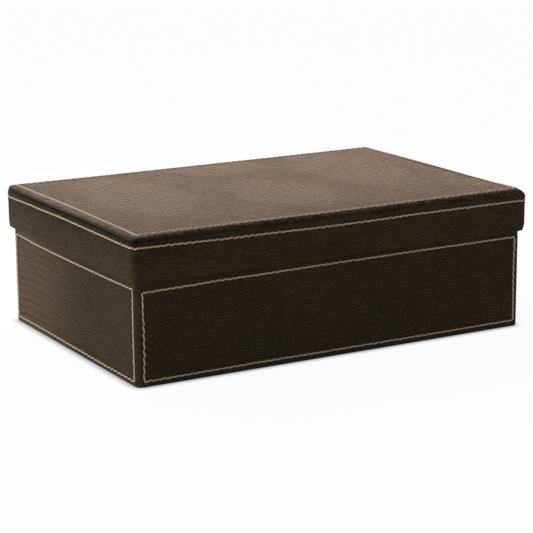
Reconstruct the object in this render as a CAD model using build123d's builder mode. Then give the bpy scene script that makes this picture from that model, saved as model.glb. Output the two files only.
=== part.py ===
from build123d import *
import os

# A stationery box with a lift-off lid: rigid boards, wrapped outside and lined inside.
# Millimetres. The origin is the middle of the underside, X runs along the length, Y to the back, Z up.

# Overall sizes
lid_length = 342.0
lid_width = 230.0
box_height = 111.0
skirt_depth = 34.0  # from the top of the lid down to the lower edge of its walls
lid_corner = 2.4
body_corner = 4.8

# Thickness of each layer
leather = 0.6
lining = 0.4
base_paper = 0.4
foam = 3.0
body_board = 2.5
floor_board = 2.5
skirt_board = 1.9
top_board = 2.5

# Fits
lid_gap = 0.4  # all round, between the lid's turned-in edge and the body
seat_gap = 0.2  # between the lid's lining and the rim it rests on

# Turned edges of the wrap
rim_turn = 14.0  # down inside the body
skirt_turn = 10.0  # up inside the lid
under_turn = 15.0  # inward under the base
sheet_margin = 3.0  # from the outside of the body to the edge of the base sheet
base_edge_radius = 1.2
rim_radius = 1.0
mouth_radius = 0.5
skirt_edge_radius = 1.2

# Rolled edge of the lid
ledge_drop = 4.5  # from the top of the lid down to the ledge that the roll sits on
roll_setback = 1.2  # how far the roll stands in from the wall
roll_corner = 3.2
roll_radius = 2.6
roll_foot_radius = 0.7
roll_width = 2.2  # folded seam allowance inside the roll
pad_corner = 1.0

# Stitching: a thread that lies in a shallow groove
thread_width = 1.0
thread_proud = 0.35
groove_width = 1.7
groove_depth = 0.25
top_row_inset = 7.3  # from the lid's wall plane to the row on its top
top_row_corner = 0.8
wall_row_drop = 9.1  # from the top of the lid down to the row on its walls
panel_row_drop = 6.0  # from the lid's lower edge down to the body's upper rows
panel_row_height = 4.5  # from the floor up to the body's lower rows
panel_column_inset = 5.5  # from the body's corner to its upright rows

# Sizes that follow
lid_side = leather + skirt_board + leather
body_length = lid_length - 2 * (lid_side + lid_gap)
body_width = lid_width - 2 * (lid_side + lid_gap)
body_side = leather + body_board
mouth_inset = body_side + leather
skirt_z = box_height - skirt_depth
ledge_z = box_height - ledge_drop
pad_top_z = box_height - leather
pad_low_z = pad_top_z - foam
top_board_z = pad_low_z - top_board
lid_lining_z = top_board_z - lining
rim_z = lid_lining_z - seat_gap
wrap_z = base_paper
floor_board_z = wrap_z + leather
floor_z = floor_board_z + floor_board
wall_row_z = box_height - wall_row_drop
panel_top_z = skirt_z - panel_row_drop
panel_height = panel_top_z - panel_row_height
panel_middle_z = (panel_top_z + panel_row_height) / 2

os.makedirs("parts", exist_ok=True)


def save(piece, label):
    piece.part.label = label
    export_step(piece.part, "parts/" + label + ".step")


def lid_plan(inset, mode=Mode.ADD):
    # The lid's outline from above, drawn in by inset, with the corners of a wrapped wall
    if inset < lid_corner:
        RectangleRounded(lid_length - 2 * inset, lid_width - 2 * inset, lid_corner - inset, mode=mode)
    else:
        Rectangle(lid_length - 2 * inset, lid_width - 2 * inset, mode=mode)


def body_plan(inset, mode=Mode.ADD):
    RectangleRounded(body_length - 2 * inset, body_width - 2 * inset, body_corner - inset, mode=mode)


def body_rectangle(inset, mode=Mode.ADD):
    Rectangle(body_length - 2 * inset, body_width - 2 * inset, mode=mode)


def lid_rectangle(inset, mode=Mode.ADD):
    Rectangle(lid_length - 2 * inset, lid_width - 2 * inset, mode=mode)


def four_walls(name_start, name_end, length, width, corner, thickness, low, high):
    # Front and back run the whole length; left and right stand between them
    between_length = length - 2 * thickness
    between_width = width - 2 * thickness
    long_wall = (length, thickness)
    short_wall = (thickness, between_width)
    wall_places = {
        "front": (0, -(width - thickness) / 2, long_wall),
        "back": (0, (width - thickness) / 2, long_wall),
        "left": (-(length - thickness) / 2, 0, short_wall),
        "right": ((length - thickness) / 2, 0, short_wall),
    }
    for side, (middle_x, middle_y, wall_size) in wall_places.items():
        with BuildPart() as wall:
            with BuildSketch(Plane.XY.offset(low)):
                if corner > 0:
                    RectangleRounded(length, width, corner)
                else:
                    Rectangle(length, width)
                Rectangle(between_length, between_width, mode=Mode.SUBTRACT)
                with Locations((middle_x, middle_y)):
                    Rectangle(*wall_size, mode=Mode.INTERSECT)
            extrude(amount=high - low)
        save(wall, name_start + "_" + side + "_" + name_end)


# Where the stitched rectangle of each body wall lies: its plane, facing out, and its length
panel_places = {
    "front": (Plane((0, -body_width / 2, panel_middle_z), (1, 0, 0), (0, -1, 0)), body_length),
    "back": (Plane((0, body_width / 2, panel_middle_z), (-1, 0, 0), (0, 1, 0)), body_length),
    "left": (Plane((-body_length / 2, 0, panel_middle_z), (0, -1, 0), (-1, 0, 0)), body_width),
    "right": (Plane((body_length / 2, 0, panel_middle_z), (0, 1, 0), (1, 0, 0)), body_width),
}


def panel_loop(wall_length, line_width):
    # The stitched rectangle, as a line of the given width
    row_length = wall_length - 2 * panel_column_inset
    Rectangle(row_length + line_width, panel_height + line_width)
    Rectangle(row_length - line_width, panel_height - line_width, mode=Mode.SUBTRACT)


def top_loop(line_width):
    # The row on the lid's top, as a line of the given width
    row_length = lid_length - 2 * top_row_inset
    row_width = lid_width - 2 * top_row_inset
    outer_corner = top_row_corner + line_width / 2
    RectangleRounded(row_length + line_width, row_width + line_width, outer_corner)
    Rectangle(row_length - line_width, row_width - line_width, mode=Mode.SUBTRACT)


# Body: boards of the base and the four walls
with BuildPart() as base_board:
    with BuildSketch(Plane.XY.offset(floor_board_z)):
        body_plan(leather)
    extrude(amount=floor_board)
save(base_board, "body_base_board")

board_length = body_length - 2 * leather
board_width = body_width - 2 * leather
board_corner = body_corner - leather
four_walls("body", "board", board_length, board_width, board_corner, body_board, floor_z, rim_z - leather)

# Body: faux leather round the walls, over the rim and under the base
with BuildPart() as body_wrap:
    with BuildSketch(Plane.XY.offset(wrap_z)):
        body_plan(0)
    extrude(amount=rim_z - wrap_z)
    fillet(body_wrap.faces().sort_by(Axis.Z)[0].edges(), base_edge_radius)
    fillet(body_wrap.faces().sort_by(Axis.Z)[-1].edges(), rim_radius)
    with BuildSketch(Plane.XY.offset(floor_board_z)):
        body_plan(leather)
    extrude(amount=rim_z - leather - floor_board_z, mode=Mode.SUBTRACT)
    with BuildSketch(Plane.XY.offset(wrap_z)):
        body_rectangle(under_turn)
    extrude(amount=leather, mode=Mode.SUBTRACT)
    with BuildSketch(Plane.XY.offset(rim_z - rim_turn)):
        body_rectangle(body_side)
    extrude(amount=rim_turn - leather)
    with BuildSketch(Plane.XY.offset(rim_z - rim_turn)):
        body_rectangle(mouth_inset)
    extrude(amount=rim_turn, mode=Mode.SUBTRACT)
    fillet(body_wrap.faces().sort_by(Axis.Z)[-1].inner_wires()[0].edges(), mouth_radius)
    for wall_plane, wall_length in panel_places.values():
        with BuildSketch(wall_plane):
            panel_loop(wall_length, groove_width)
        extrude(amount=-groove_depth, mode=Mode.SUBTRACT)
save(body_wrap, "body_wrap")

# Body: sheet under the base, which laps over the turned edge of the wrap
with BuildPart() as base_sheet:
    with BuildSketch(Plane.XY):
        body_plan(sheet_margin)
    extrude(amount=base_paper)
    with BuildSketch(Plane.XY.offset(wrap_z)):
        body_rectangle(under_turn)
    extrude(amount=leather)
save(base_sheet, "base_sheet")

# Body: linings
with BuildPart() as floor_lining:
    with BuildSketch(Plane.XY.offset(floor_z)):
        body_rectangle(body_side)
    extrude(amount=lining)
save(floor_lining, "body_floor_lining")

inner_length = body_length - 2 * body_side
inner_width = body_width - 2 * body_side
four_walls("body", "lining", inner_length, inner_width, 0, lining, floor_z + lining, rim_z - rim_turn)

# Body: one stitched rectangle on each wall
for side, (wall_plane, wall_length) in panel_places.items():
    with BuildPart() as panel_thread:
        with BuildSketch(wall_plane.offset(-groove_depth)):
            panel_loop(wall_length, thread_width)
        extrude(amount=groove_depth + thread_proud)
    save(panel_thread, "body_" + side + "_stitching")

# Lid: boards of the top and the four walls
top_inset = leather + skirt_board
with BuildPart() as lid_board:
    with BuildSketch(Plane.XY.offset(top_board_z)):
        lid_rectangle(top_inset)
    extrude(amount=top_board)
save(lid_board, "lid_top_board")

skirt_length = lid_length - 2 * leather
skirt_width = lid_width - 2 * leather
skirt_corner = lid_corner - leather
skirt_low = skirt_z + leather
four_walls("lid", "board", skirt_length, skirt_width, skirt_corner, skirt_board, skirt_low, ledge_z - leather)

# Lid: faux leather round the walls, turned over their tops and up inside
with BuildPart() as wall_wrap:
    with BuildSketch(Plane.XY.offset(skirt_z)):
        lid_plan(0)
    extrude(amount=ledge_z - skirt_z)
    fillet(wall_wrap.faces().sort_by(Axis.Z)[0].edges(), skirt_edge_radius)
    fillet(wall_wrap.faces().sort_by(Axis.Z)[-1].edges(), skirt_edge_radius)
    with BuildSketch(Plane.XY.offset(skirt_low)):
        lid_plan(leather)
    extrude(amount=ledge_z - leather - skirt_low, mode=Mode.SUBTRACT)
    with BuildSketch(Plane.XY.offset(ledge_z)):
        lid_rectangle(top_inset)
    extrude(amount=-leather, mode=Mode.SUBTRACT)
    with BuildSketch(Plane.XY.offset(skirt_low)):
        lid_rectangle(top_inset)
    extrude(amount=skirt_turn - leather)
    with BuildSketch(Plane.XY.offset(skirt_z)):
        lid_rectangle(lid_side)
    extrude(amount=skirt_turn, mode=Mode.SUBTRACT)
    with BuildSketch(Plane.XY.offset(wall_row_z - groove_width / 2)):
        lid_plan(-leather)
        lid_plan(groove_depth, mode=Mode.SUBTRACT)
    extrude(amount=groove_width, mode=Mode.SUBTRACT)
save(wall_wrap, "lid_wall_wrap")

# Lid: foam pad on the top board
pad_inset = roll_setback + roll_width
with BuildPart() as top_pad:
    with BuildSketch(Plane.XY.offset(pad_low_z)):
        RectangleRounded(lid_length - 2 * pad_inset, lid_width - 2 * pad_inset, pad_corner)
    extrude(amount=foam)
save(top_pad, "lid_top_pad")

# Lid: top cover, whose folded and sewn edge stands on the ledge as a roll
with BuildPart() as top_cover:
    with BuildSketch(Plane.XY.offset(ledge_z)):
        RectangleRounded(lid_length - 2 * roll_setback, lid_width - 2 * roll_setback, roll_corner)
    extrude(amount=ledge_drop)
    fillet(top_cover.faces().sort_by(Axis.Z)[0].edges(), roll_foot_radius)
    fillet(top_cover.faces().sort_by(Axis.Z)[-1].edges(), roll_radius)
    with BuildSketch(Plane.XY.offset(ledge_z)):
        lid_rectangle(top_inset)
    extrude(amount=pad_low_z - ledge_z, mode=Mode.SUBTRACT)
    with BuildSketch(Plane.XY.offset(pad_low_z)):
        RectangleRounded(lid_length - 2 * pad_inset, lid_width - 2 * pad_inset, pad_corner)
    extrude(amount=foam, mode=Mode.SUBTRACT)
    with BuildSketch(Plane.XY.offset(box_height)):
        top_loop(groove_width)
    extrude(amount=-groove_depth, mode=Mode.SUBTRACT)
save(top_cover, "lid_top_cover")

# Lid: linings
with BuildPart() as top_lining:
    with BuildSketch(Plane.XY.offset(lid_lining_z)):
        lid_rectangle(top_inset)
    extrude(amount=lining)
save(top_lining, "lid_top_lining")

lid_inner_length = lid_length - 2 * top_inset
lid_inner_width = lid_width - 2 * top_inset
lining_low = skirt_z + skirt_turn
four_walls("lid", "lining", lid_inner_length, lid_inner_width, 0, lining, lining_low, lid_lining_z)

# Lid: the two rows of stitching that run all round
with BuildPart() as top_thread:
    with BuildSketch(Plane.XY.offset(box_height - groove_depth)):
        top_loop(thread_width)
    extrude(amount=groove_depth + thread_proud)
save(top_thread, "lid_top_stitching")

with BuildPart() as wall_thread:
    with BuildSketch(Plane.XY.offset(wall_row_z - thread_width / 2)):
        lid_plan(-thread_proud)
        lid_plan(groove_depth, mode=Mode.SUBTRACT)
    extrude(amount=thread_width)
save(wall_thread, "lid_wall_stitching")
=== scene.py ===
from math import cos, hypot, pi, radians, sin

import bmesh
import bpy
import numpy as np
from mathutils import Matrix, Vector, noise


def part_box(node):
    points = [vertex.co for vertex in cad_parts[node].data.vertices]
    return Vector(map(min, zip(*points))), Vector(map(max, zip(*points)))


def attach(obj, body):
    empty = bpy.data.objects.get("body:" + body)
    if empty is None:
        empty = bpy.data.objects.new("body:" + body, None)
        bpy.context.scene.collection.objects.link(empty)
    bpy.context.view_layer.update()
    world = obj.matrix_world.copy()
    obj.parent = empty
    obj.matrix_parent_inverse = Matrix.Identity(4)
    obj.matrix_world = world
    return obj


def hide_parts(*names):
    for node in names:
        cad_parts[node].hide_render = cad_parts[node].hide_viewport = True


# Stationery box in stitched, embossed faux leather. Metres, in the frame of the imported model.
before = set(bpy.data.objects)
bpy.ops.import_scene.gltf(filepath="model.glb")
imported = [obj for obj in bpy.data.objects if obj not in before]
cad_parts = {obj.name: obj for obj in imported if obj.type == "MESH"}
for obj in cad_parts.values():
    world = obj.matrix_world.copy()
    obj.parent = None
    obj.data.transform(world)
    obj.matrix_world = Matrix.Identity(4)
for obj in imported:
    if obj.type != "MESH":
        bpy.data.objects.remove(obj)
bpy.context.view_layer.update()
mm = 0.001

lidLow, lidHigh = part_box("lid_wall_wrap")
bodyLow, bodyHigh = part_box("body_wrap")
coverLow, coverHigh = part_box("lid_top_cover")
padLow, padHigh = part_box("lid_top_pad")
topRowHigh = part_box("lid_top_stitching")[1]
wallRowLow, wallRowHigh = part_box("lid_wall_stitching")
panelRowLow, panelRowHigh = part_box("body_front_stitching")
print("frame loaded")

# Layers of the box
layers = {
    "leather": 0.6 * mm,
    "lidWall": 3.1 * mm,
    "lidBoardInside": 2.5 * mm,
    "lidCorner": 4.6 * mm,
    "bodyCorner": 4.8 * mm,
    "bodyMouth": 3.7 * mm,
    "threadWidth": 1.0 * mm,
}


# Helpers for shapes

def smoothStep(low, high, value):
    share = np.clip((value - low) / (high - low), 0, 1)
    return share * share * (3 - 2 * share)


def plateau(rise, fall, value):
    return smoothStep(*rise, value) * (1 - smoothStep(*fall, value))


def softNoise(points, size, seed, stretch=1):
    # One value from about -1 to 1 for each point, in waves about as wide as size
    flat = np.asarray(points * np.array((1, 1, stretch)), float).reshape(-1, 3) / size + seed * 7.31
    found = [noise.noise(Vector(point)) for point in flat]
    return np.array(found).reshape(np.shape(points)[:-1])


def twoWaves(points, sizes, fineShare, seed):
    # Slow waves with finer ones on them
    return softNoise(points, sizes[0], seed) + fineShare * softNoise(points, sizes[1], seed + 1)


def hump(value, middle, width):
    return np.exp(-((value - middle) / width) ** 2)


def stops(start, end, step, spots=(), fineStep=0.45 * mm, reach=2.2 * mm, growth=0.4):
    # Places from start to end, closer together round each spot
    places = [start]
    while places[-1] < end - fineStep:
        nearest = min((abs(places[-1] - spot) for spot in spots), default=1)
        grown = fineStep + max(0, nearest - reach) * growth
        places.append(min(end, places[-1] + min(step, grown)))
    places[-1] = end
    return places


def arc(inset, height, radius, start, end, steps):
    # Points of an arc in a wall's section; 0 degrees faces out and 90 degrees faces up
    turns = [radians(start + (end - start) * i / steps) for i in range(steps + 1)]
    return [(inset - radius * cos(turn), height + radius * sin(turn)) for turn in turns]


def drift(values, share):
    # A smooth line through values that are evenly spaced from share -1 to 1
    places = (np.clip(share, -1, 1) + 1) / 2 * (len(values) - 1)
    before = np.minimum(places.astype(int), len(values) - 2)
    part = places - before
    part = part * part * (3 - 2 * part)
    values = np.asarray(values, float)
    return values[before] * (1 - part) + values[before + 1] * part


sideOrder = ("back", "left", "front", "right")
sideNormals = {"back": (0, 1), "left": (-1, 0), "front": (0, -1), "right": (1, 0)}


def sideAt(number):
    return sideOrder[number % 4]


def normalAt(number):
    # Out from a side. The next side's normal is the direction along this one
    return np.array(sideNormals[sideAt(number)], float)


def outAndAlong(side, halfLength, halfWidth):
    # From the middle out to a side, and from the middle of that side to its ends
    return (halfWidth, halfLength) if side in ("back", "front") else (halfLength, halfWidth)


def boxOutline(low, high, corner, step, spots=(), cornerSteps=8):
    # Upright columns round a box, anticlockwise from the middle of the back
    length = high.x - low.x
    width = high.y - low.y
    columns = []
    reaches = [outAndAlong(side, length / 2, width / 2) for side in sideOrder]
    walked = 0
    for number in range(5):
        along = reaches[number % 4][1]
        flat = along - corner
        fine = [sign * (along - spot) for spot in spots for sign in (-1, 1)]
        places = stops(-flat, flat, step, fine)
        middle = min(range(len(places)), key=lambda i: abs(places[i]))
        first = middle if number == 0 else 0
        last = middle - 1 if number == 4 else len(places) - 1
        start = walked - places[first]
        columns += [(number % 4, place / flat, 0, start + place) for place in places[first:last + 1]]
        walked = start + places[-1]
        if number < 4:
            turns = [pi / 2 * i / cornerSteps for i in range(1, cornerSteps)]
            columns += [(number % 4, 1, turn, walked + corner * turn) for turn in turns]
            walked += corner * pi / 2
    sides, shares, turns, distances = (np.array(part) for part in zip(*columns))
    return {
        "side": sides,
        "share": shares,
        "turn": turns,
        "distance": distances,
        "normal": np.array([normalAt(side) for side in sides]),
        "tangent": np.array([normalAt(side + 1) for side in sides]),
        "out": np.array([reaches[side][0] for side in sides]),
        "along": np.array([reaches[side][1] for side in sides]),
        "corner": corner,
        "perimeter": 2 * (length + width) - 8 * corner + 2 * pi * corner,
    }


leastRadius = 0.02 * mm


def outlinePoints(outline, inset):
    # Where the columns stand when the outline is drawn in by inset
    radius = np.maximum(outline["corner"] - inset, leastRadius)
    outward = outline["out"] - inset - radius + radius * np.cos(outline["turn"])
    sideways = outline["share"] * (outline["along"] - inset - radius) + radius * np.sin(outline["turn"])
    return outward[..., None] * outline["normal"] + sideways[..., None] * outline["tangent"]


def ringPoints(outline, insets, heights):
    return np.concatenate([outlinePoints(outline, insets), heights[..., None]], axis=2)


def outlineFacing(outline):
    turn = outline["turn"][:, None]
    return np.cos(turn) * outline["normal"] + np.sin(turn) * outline["tangent"]


def aroundBox(outline, valuesOfSides):
    # A drift round the whole box, from the values of each side
    found = np.zeros(len(outline["side"]))
    for number, side in enumerate(sideOrder):
        here = outline["side"] == number
        found[here] = drift(valuesOfSides[side], outline["share"][here])
    return found


def cornerNearness(outline, reach):
    # 1 on a corner, falling to 0 at reach along the wall from where its arc starts
    gap = (1 - np.abs(outline["share"])) * (outline["along"] - outline["corner"])
    return 1 - smoothStep(0, reach, gap)


def columnsOfSide(outline, number):
    # The columns from the middle of the corner before a side to the middle of the corner after it
    side = outline["side"]
    turn = outline["turn"]
    starting = np.flatnonzero((side == (number - 1) % 4) & (turn > 0.249 * pi))
    own = np.flatnonzero((side == number) & (turn < 0.251 * pi))
    if number == 0:
        half = len(side) / 2
        own = np.concatenate([own[own > half], own[own < half]])
    return np.concatenate([starting, own])


def sweepProfile(outline, profile):
    # The insets and the heights of a wall's section, the same at every column
    swept = np.repeat(np.array(profile)[:, :, None], len(outline["side"]), axis=2)
    return swept[:, 0].copy(), swept[:, 1].copy()


def gridFaces(rows, columns, closedRows=False, closedColumns=False, start=0):
    # Quads between rows of points that are numbered from start
    faces = []
    for row in range(rows if closedRows else rows - 1):
        above = (row + 1) % rows
        for column in range(columns if closedColumns else columns - 1):
            after = (column + 1) % columns
            corners = ((row, column), (row, after), (above, after), (above, column))
            faces.append(tuple(start + line * columns + place for line, place in corners))
    return faces


def addObject(name, data):
    holder = bpy.data.objects.new(name, data)
    bpy.context.scene.collection.objects.link(holder)
    return holder


def storeOnPoints(mesh, label, kind, field, values):
    stored = mesh.attributes.new(label, kind, "POINT")
    stored.data.foreach_set(field, np.asarray(values, np.float32).ravel())


def newPiece(name, vertices, faces, grain, material, foldsAndPaintedShade=None):
    # A mesh object with its grain map, in metres along the surface, one value for each vertex or face corner
    mesh = bpy.data.meshes.new(name)
    mesh.from_pydata([tuple(vertex) for vertex in vertices], [], faces)
    layer = mesh.uv_layers.new(name="grain")
    corners = np.empty(len(mesh.loops), np.int32)
    mesh.loops.foreach_get("vertex_index", corners)
    grain = np.asarray(grain, np.float32)
    spread = grain[corners] if len(grain) == len(vertices) else grain
    layer.data.foreach_set("uv", spread.ravel())
    # Painted shade in the folds along a seam, for the leather to darken its colour with
    if foldsAndPaintedShade is not None:
        storeOnPoints(mesh, "paintedFoldShade", "FLOAT", "value", foldsAndPaintedShade)
    mesh.materials.append(material)
    mesh.shade_smooth()
    return addObject(name, mesh)


def profileLengths(profile):
    steps = [hypot(b[0] - a[0], b[1] - a[1]) for a, b in zip(profile, profile[1:])]
    return np.concatenate([[0], np.cumsum(steps)])


def wallBand(name, outline, profile, insets, heights, wallStart, material, foldsAndPaintedShade=None):
    # A closed band from a wall's section, with the insets and heights worked out for every column
    rows, columns = insets.shape
    vertices = ringPoints(outline, insets, heights).reshape(-1, 3)
    lengths = profileLengths(profile + profile[:1])
    up = lengths - lengths[wallStart] + profile[wallStart][1]  # so that it is the height, on the wall
    across = np.append(outline["distance"], outline["perimeter"])
    grain = []
    for row in range(rows):
        for column in range(columns):
            corners = ((0, 0), (1, 0), (1, 1), (0, 1))
            grain += [(across[column + right], up[row + over]) for right, over in corners]
    return newPiece(name, vertices, gridFaces(rows, columns, True, True), grain, material, foldsAndPaintedShade)


# Helpers for materials

def newMaterial(name):
    material = bpy.data.materials.new(name)
    material.use_nodes = True
    tree = material.node_tree
    return material, tree, tree.nodes["Principled BSDF"]


def addNode(tree, kind, sockets=None, **settings):
    node = tree.nodes.new(kind)
    for setting, value in settings.items():
        setattr(node, setting, value)
    for socket, value in (sockets or {}).items():
        if isinstance(value, bpy.types.NodeSocket):
            tree.links.new(value, node.inputs[socket])
        else:
            node.inputs[socket].default_value = value
    return node


def calc(tree, operation, first, second=0.0, third=0.0):
    node = addNode(tree, "ShaderNodeMath", {0: first, 1: second, 2: third}, operation=operation)
    return node.outputs[0]


def vectorCalc(tree, operation, first, second=(0, 0, 0)):
    return addNode(tree, "ShaderNodeVectorMath", {0: first, 1: second}, operation=operation).outputs[0]


def scaled(tree, vector, factor):
    return addNode(tree, "ShaderNodeVectorMath", {0: vector, "Scale": factor}, operation="SCALE").outputs[0]


def remap(tree, value, low, high, newLow=0.0, newHigh=1.0):
    sockets = {"Value": value, "From Min": low, "From Max": high, "To Min": newLow, "To Max": newHigh}
    return addNode(tree, "ShaderNodeMapRange", sockets, interpolation_type="SMOOTHSTEP").outputs["Result"]


def mixColours(tree, share, first, second):
    return addNode(tree, "ShaderNodeMix", {0: share, 6: first, 7: second}, data_type="RGBA").outputs[2]


def mixValues(tree, share, first, second):
    return addNode(tree, "ShaderNodeMix", {0: share, 2: first, 3: second}).outputs[0]


def noiseField(tree, place, scale=1.0, detail=2.0, roughness=0.5, output="Fac"):
    sockets = {"Vector": place, "Scale": scale, "Detail": detail, "Roughness": roughness}
    return addNode(tree, "ShaderNodeTexNoise", sockets).outputs[output]


def moved(tree, place, scale=(1, 1, 1), shift=(0, 0, 0)):
    sockets = {"Vector": place, "Scale": scale, "Location": shift}
    return addNode(tree, "ShaderNodeMapping", sockets).outputs["Vector"]


def attribute(tree, label):
    return addNode(tree, "ShaderNodeAttribute", attribute_name=label).outputs["Fac"]


def placeOn(tree, perMetre=1000):
    # The place on a piece, in mm
    return moved(tree, addNode(tree, "ShaderNodeTexCoord").outputs["Object"], (perMetre, perMetre, perMetre))


def coat(tree, shader, tone, height, distance, strength, values):
    # The colour, the relief and the plain values of a material
    tree.links.new(tone, shader.inputs["Base Color"])
    bump = addNode(tree, "ShaderNodeBump", {"Height": height, "Distance": distance, "Strength": strength})
    tree.links.new(bump.outputs["Normal"], shader.inputs["Normal"])
    for socket, value in values.items():
        shader.inputs[socket].default_value = value


# Embossed faux leather: fine wavy lines that run with the length, and patches of broad scales in rows.
# Lengths are in mm. A bend is waves to a mm, and how far it pushes. A fading is the ends of the noise, and
# the shares that they stand for
leather = {
    "deep": (0.0100, 0.0078, 0.0045, 1),
    "plain": (0.0310, 0.0230, 0.0136, 1),
    "high": (0.1000, 0.0715, 0.0490, 1),
    # Painted shade colour for the folds along the lid's roll and under its row
    "creaseAndPaintedShade": (0.0050, 0.0040, 0.0025, 1),
    "seedShift": (371.0, 113.0),
    "bends": ((0.014, (16, 18, 0)), (0.05, (6, 7, 0))),
    "linePitch": 2.7,
    "lineLength": 15.0,  # before a line fades out
    "lineSharpness": 2.4,
    "lineFading": (0.38, 0.62, 0.1, 1.0),
    "crossLength": 9.0,  # of the finer ripples between the lines
    "crossPitch": 1.5,
    "crossEdge": 0.4,
    "crossFading": (0.4, 0.62, 0.15, 0.45),
    "scaleEdge": 0.2,
    "patchBends": ((0.02, (18, 22, 0)), (0.2, (5, 5, 0))),
    "patchPowers": (1.5, 1.7),  # of a patch's outline, across and up: 2 is an ellipse and 1 a diamond
    "patchRim": (1.15, 0.85),
    "pores": (1.3, 3.0, 0.65),
    "poreDepth": 0.4,
    "crossClouds": 0.05,
    "mottle": (1.0, 2.5, 0.6),
    "clouds": (0.016, 5.0, 0.62),
    "wornClouds": (0.38, 0.68),
    "cloudGloss": 0.2,
    "ridgeGloss": 0.12,
    "speckleEdge": (0.3, 0.7),
    "streaks": (0.42, 0.07, 1),
    "streakEdge": (0.44, 0.6),
    "depth": 0.2 * mm,
    "specularTint": (1.0, 0.80, 0.64, 1),
    "sheenRoughness": 0.3,
}


def cellEdges(tree, place, width, height, jitter, edge):
    # 1 on a cell, falling to 0 along its edges
    sockets = {"Vector": moved(tree, place, (1 / width, 1 / height, 1)), "Scale": 1.0, "Randomness": jitter}
    kind = {"voronoi_dimensions": "2D", "feature": "DISTANCE_TO_EDGE"}
    cells = addNode(tree, "ShaderNodeTexVoronoi", sockets, **kind)
    return remap(tree, cells.outputs["Distance"], 0.0, edge)


def wavering(tree, place, bends):
    # Push a place about, by up to about half the reach of each bend
    for scale, reach in bends:
        wave = noiseField(tree, place, scale, 1.0, output="Color")
        shift = vectorCalc(tree, "MULTIPLY", vectorCalc(tree, "SUBTRACT", wave, (0.5, 0.5, 0.5)), reach)
        place = vectorCalc(tree, "ADD", place, shift)
    return place


def axesOf(tree, place):
    return addNode(tree, "ShaderNodeSeparateXYZ", {0: place}).outputs


def wavyLines(tree, place, bent):
    # 1 on the ridges, falling towards 0 in long wavy lines that fade in and out
    turns = calc(tree, "MULTIPLY", axesOf(tree, bent)[1], 2 * pi / leather["linePitch"])
    valley = calc(tree, "MULTIPLY_ADD", calc(tree, "SINE", turns), 0.5, 0.5)
    stretched = moved(tree, place, (1 / leather["lineLength"], 1 / leather["linePitch"], 1))
    strength = remap(tree, noiseField(tree, stretched, 1.0, 1.0), *leather["lineFading"])
    sharp = calc(tree, "POWER", valley, leather["lineSharpness"])
    return calc(tree, "SUBTRACT", 1.0, calc(tree, "MULTIPLY", sharp, strength))


def broadScales(tree, place, look):
    # Low cells in rows; the lines between the rows are the deeper ones, and both come and go
    width, height = look["scaleSize"]
    cells = cellEdges(tree, place, width, height, look["scaleJitter"], leather["scaleEdge"])
    rows = calc(tree, "PINGPONG", calc(tree, "DIVIDE", axesOf(tree, place)[1], height), 0.5)
    rows = remap(tree, rows, 0.0, leather["scaleEdge"])
    fading = noiseField(tree, moved(tree, place, (1 / (3 * width), 1 / height, 1)))
    parts = []
    for field, ends in ((rows, look["rowFading"]), (cells, look["cellFading"])):
        missing = calc(tree, "SUBTRACT", field, 1.0)
        parts.append(calc(tree, "MULTIPLY_ADD", missing, remap(tree, fading, *ends), 1.0))
    return calc(tree, "MULTIPLY", *parts)


def patchField(tree, flat, look):
    # 1 in patches, tall and pointed, where the scales of the hide are broad
    around = wavering(tree, flat, leather["patchBends"])
    nearest = 9.0
    for x, y, *sizes in look["patches"]:
        axes = axesOf(tree, moved(tree, around, (1, 1, 1), (-x, -y, 0)))
        parts = []
        for axis, size, power in zip(axes, sizes, leather["patchPowers"]):
            share = calc(tree, "ABSOLUTE", calc(tree, "DIVIDE", axis, size))
            parts.append(calc(tree, "POWER", share, power))
        nearest = calc(tree, "MINIMUM", nearest, calc(tree, "ADD", *parts))  # 0 in the middle, 1 on the edge
    outer, inner = leather["patchRim"]
    return remap(tree, nearest, outer, inner - look["patchSoftness"])


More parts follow.
